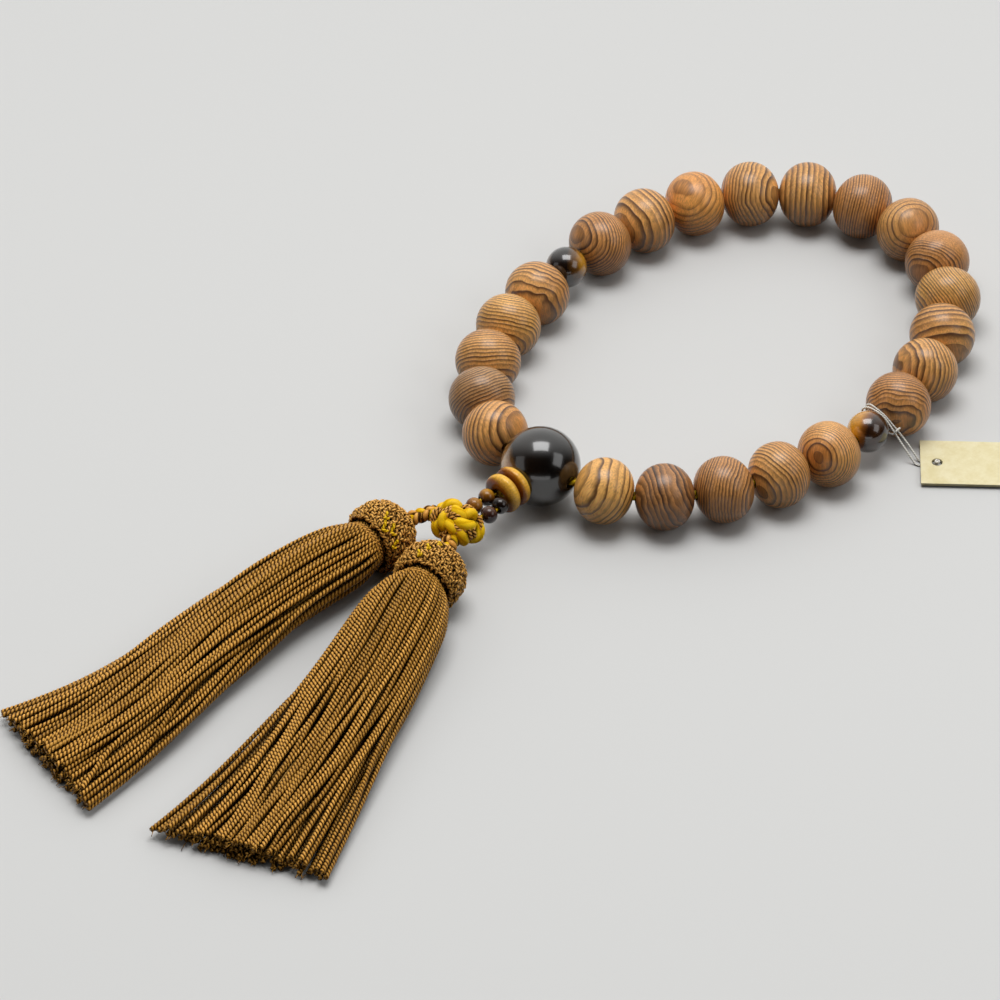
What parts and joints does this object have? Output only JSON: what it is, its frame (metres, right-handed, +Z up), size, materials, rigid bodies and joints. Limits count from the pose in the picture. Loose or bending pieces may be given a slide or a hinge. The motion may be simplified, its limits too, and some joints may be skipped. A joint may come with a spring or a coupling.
{
  "type": "mala prayer beads",
  "caption": "Prayer bracelet of grained wooden beads on a cord, with stone beads, a two-colour knot, two long corded tassels and a bare card tag.",
  "frame": {"origin": "middle of the loop of beads, on the surface that it lies on", "axes": "+X from the tassels along the length, away from them; +Y across, towards the left tassel; +Z up"},
  "size_m": [0.2181, 0.1199, 0.0144],
  "materials": {
    "wood": "turned, sanded and oiled, with open growth rings",
    "dark_tiger_eye": "polished near-black brown stone",
    "banded_tiger_eye": "polished stone in gold and brown bands",
    "yellow_cord": "smooth yellow cord",
    "two_colour_cord": "yellow and brown cords knotted together",
    "brown_cord": "golden brown twisted cord with a silky shine",
    "white_thread": "thin white thread",
    "card": "plain cream card"
  },
  "bodies": {
    "base": {"guru_bead": "dark_tiger_eye", "stringing_cord": "yellow_cord", "neck_stem": "yellow_cord", "neck_branch_left": "yellow_cord", "neck_branch_right": "yellow_cord", "neck_end": "yellow_cord"},
    "knot": {"knot": "two_colour_cord"},
    "plait_left": {"plait_left": "two_colour_cord"},
    "plait_right": {"plait_right": "two_colour_cord"},
    "tassel_left": {"tassel_left_cover": "brown_cord", "tassel_left_core": "brown_cord", "tassel_left_binding": "brown_cord", "tassel_left_cords": "brown_cord"},
    "tassel_right": {"tassel_right_cover": "brown_cord", "tassel_right_core": "brown_cord", "tassel_right_binding": "brown_cord", "tassel_right_cords": "brown_cord"},
    "tag": {"tag_thread": "white_thread", "tag_card": "card"},
    "bead_01": {"bead_01": "wood"},
    "bead_02": {"bead_02": "wood"},
    "bead_03": {"bead_03": "wood"},
    "bead_04": {"bead_04": "wood"},
    "bead_05": {"bead_05": "wood"},
    "bead_06": {"bead_06": "wood"},
    "bead_07": {"bead_07": "wood"},
    "bead_08": {"bead_08": "wood"},
    "bead_09": {"bead_09": "wood"},
    "bead_10": {"bead_10": "wood"},
    "bead_11": {"bead_11": "wood"},
    "bead_12": {"bead_12": "wood"},
    "bead_13": {"bead_13": "wood"},
    "bead_14": {"bead_14": "wood"},
    "bead_15": {"bead_15": "wood"},
    "bead_16": {"bead_16": "wood"},
    "bead_17": {"bead_17": "wood"},
    "bead_18": {"bead_18": "wood"},
    "bead_19": {"bead_19": "wood"},
    "bead_20": {"bead_20": "wood"},
    "bead_21": {"bead_21": "wood"},
    "bead_22": {"bead_22": "wood"},
    "spacer_left": {"spacer_left": "banded_tiger_eye"},
    "spacer_right": {"spacer_right": "banded_tiger_eye"},
    "neck_disc_1": {"neck_disc_1": "banded_tiger_eye"},
    "neck_disc_2": {"neck_disc_2": "banded_tiger_eye"},
    "neck_seed_1": {"neck_seed_1": "banded_tiger_eye"},
    "neck_seed_2": {"neck_seed_2": "banded_tiger_eye"},
    "neck_seed_3": {"neck_seed_3": "banded_tiger_eye"},
    "neck_seed_4": {"neck_seed_4": "banded_tiger_eye"}
  },
  "joints": [
    {"name": "pendant_swing", "type": "hinge", "parent": "base", "child": "knot", "pos_m": [-0.06953, 0.00005, 0.0072], "axis": [0, 0, 1], "range_deg": [-15, 15]},
    {"name": "left_plait_swing", "type": "hinge", "parent": "knot", "child": "plait_left", "pos_m": [-0.07218, 0.00625, 0.007], "axis": [0, 0, 1], "range_deg": [-35, 0]},
    {"name": "left_tassel_lift", "type": "hinge", "parent": "plait_left", "child": "tassel_left", "pos_m": [-0.07522, 0.00845, 0.0062], "axis": [0.0889, 0.996, 0], "range_deg": [0, 45]},
    {"name": "right_plait_swing", "type": "hinge", "parent": "knot", "child": "plait_right", "pos_m": [-0.07558, -0.0016, 0.007], "axis": [0, 0, 1], "range_deg": [0, 35]},
    {"name": "right_tassel_lift", "type": "hinge", "parent": "plait_right", "child": "tassel_right", "pos_m": [-0.07763, -0.00283, 0.0062], "axis": [-0.2689, 0.9632, 0], "range_deg": [0, 45]},
    {"name": "tag_lift", "type": "hinge", "parent": "base", "child": "tag", "pos_m": [0.00307, -0.03602, 0.006], "axis": [-0.9965, -0.084, 0], "range_deg": [0, 60]},
    {"name": "bead_01_spin", "type": "hinge", "parent": "base", "child": "bead_01", "pos_m": [-0.04733, 0.01257, 0.0066], "axis": [0.4254, 0.8985, -0.1082], "continuous": true},
    {"name": "bead_02_spin", "type": "hinge", "parent": "base", "child": "bead_02", "pos_m": [-0.04105, 0.0213, 0.006], "axis": [0.7229, 0.6909, 0], "continuous": true},
    {"name": "bead_03_spin", "type": "hinge", "parent": "base", "child": "bead_03", "pos_m": [-0.03229, 0.02753, 0.006], "axis": [0.8902, 0.4556, 0], "continuous": true},
    {"name": "bead_04_spin", "type": "hinge", "parent": "base", "child": "bead_04", "pos_m": [-0.0222, 0.03147, 0.006], "axis": [0.9633, 0.2686, 0], "continuous": true},
    {"name": "bead_05_spin", "type": "hinge", "parent": "base", "child": "bead_05", "pos_m": [-0.01158, 0.03378, 0.006], "axis": [0.9877, 0.1562, 0], "continuous": true},
    {"name": "bead_06_spin", "type": "hinge", "parent": "base", "child": "bead_06", "pos_m": [0.00732, 0.03489, 0.006], "axis": [0.9983, -0.0574, 0], "continuous": true},
    {"name": "bead_07_spin", "type": "hinge", "parent": "base", "child": "bead_07", "pos_m": [0.01804, 0.03331, 0.006], "axis": [0.9728, -0.2318, 0], "continuous": true},
    {"name": "bead_08_spin", "type": "hinge", "parent": "base", "child": "bead_08", "pos_m": [0.02827, 0.02976, 0.006], "axis": [0.9069, -0.4214, 0], "continuous": true},
    {"name": "bead_09_spin", "type": "hinge", "parent": "base", "child": "bead_09", "pos_m": [0.03742, 0.02404, 0.006], "axis": [0.7762, -0.6304, 0], "continuous": true},
    {"name": "bead_10_spin", "type": "hinge", "parent": "base", "child": "bead_10", "pos_m": [0.04462, 0.01609, 0.006], "axis": [0.5497, -0.8353, 0], "continuous": true},
    {"name": "bead_11_spin", "type": "hinge", "parent": "base", "child": "bead_11", "pos_m": [0.04878, 0.00627, 0.006], "axis": [0.2178, -0.976, 0], "continuous": true},
    {"name": "bead_12_spin", "type": "hinge", "parent": "base", "child": "bead_12", "pos_m": [0.04904, -0.00435, 0.006], "axis": [-0.1706, -0.9853, 0], "continuous": true},
    {"name": "bead_13_spin", "type": "hinge", "parent": "base", "child": "bead_13", "pos_m": [0.0453, -0.01432, 0.006], "axis": [-0.5183, -0.8552, 0], "continuous": true},
    {"name": "bead_14_spin", "type": "hinge", "parent": "base", "child": "bead_14", "pos_m": [0.03837, -0.0225, 0.006], "axis": [-0.7586, -0.6516, 0], "continuous": true},
    {"name": "bead_15_spin", "type": "hinge", "parent": "base", "child": "bead_15", "pos_m": [0.0294, -0.02851, 0.006], "axis": [-0.8914, -0.4532, 0], "continuous": true},
    {"name": "bead_16_spin", "type": "hinge", "parent": "base", "child": "bead_16", "pos_m": [0.01936, -0.03261, 0.006], "axis": [-0.9535, -0.3014, 0], "continuous": true},
    {"name": "bead_17_spin", "type": "hinge", "parent": "base", "child": "bead_17", "pos_m": [0.00862, -0.03514, 0.006], "axis": [-0.9876, -0.1571, 0], "continuous": true},
    {"name": "bead_18_spin", "type": "hinge", "parent": "base", "child": "bead_18", "pos_m": [-0.01071, -0.03486, 0.006], "axis": [-0.9815, 0.1914, 0], "continuous": true},
    {"name": "bead_19_spin", "type": "hinge", "parent": "base", "child": "bead_19", "pos_m": [-0.02116, -0.03192, 0.006], "axis": [-0.9371, 0.3492, 0], "continuous": true},
    {"name": "bead_20_spin", "type": "hinge", "parent": "base", "child": "bead_20", "pos_m": [-0.03097, -0.02729, 0.006], "axis": [-0.866, 0.5001, 0], "continuous": true},
    {"name": "bead_21_spin", "type": "hinge", "parent": "base", "child": "bead_21", "pos_m": [-0.03965, -0.02086, 0.006], "axis": [-0.7295, 0.684, 0], "continuous": true},
    {"name": "bead_22_spin", "type": "hinge", "parent": "base", "child": "bead_22", "pos_m": [-0.0463, -0.01231, 0.0066], "axis": [-0.4832, 0.8688, 0.108], "continuous": true},
    {"name": "spacer_left_spin", "type": "hinge", "parent": "base", "child": "spacer_left", "pos_m": [-0.00216, 0.03492, 0.006], "axis": [0.9975, 0.0704, 0], "continuous": true},
    {"name": "spacer_right_spin", "type": "hinge", "parent": "base", "child": "spacer_right", "pos_m": [-0.00115, -0.03596, 0.006], "axis": [-0.9999, 0.0141, 0], "continuous": true},
    {"name": "neck_disc_1_spin", "type": "hinge", "parent": "base", "child": "neck_disc_1", "pos_m": [-0.05678, 0.00005, 0.0072], "axis": [-1, 0, 0], "continuous": true},
    {"name": "neck_disc_2_spin", "type": "hinge", "parent": "base", "child": "neck_disc_2", "pos_m": [-0.05943, 0.00005, 0.0072], "axis": [-1, 0, 0], "continuous": true},
    {"name": "neck_seed_1_spin", "type": "hinge", "parent": "base", "child": "neck_seed_1", "pos_m": [-0.06224, 0.00146, 0.0072], "axis": [0.9419, -0.3359, 0], "continuous": true},
    {"name": "neck_seed_2_spin", "type": "hinge", "parent": "base", "child": "neck_seed_2", "pos_m": [-0.06555, 0.00151, 0.0072], "axis": [-0.9514, -0.3078, 0], "continuous": true},
    {"name": "neck_seed_3_spin", "type": "hinge", "parent": "base", "child": "neck_seed_3", "pos_m": [-0.06232, -0.00177, 0.0072], "axis": [0.894, 0.4481, 0], "continuous": true},
    {"name": "neck_seed_4_spin", "type": "hinge", "parent": "base", "child": "neck_seed_4", "pos_m": [-0.06555, -0.00201, 0.0072], "axis": [-0.9514, 0.3078, 0], "continuous": true}
  ]
}
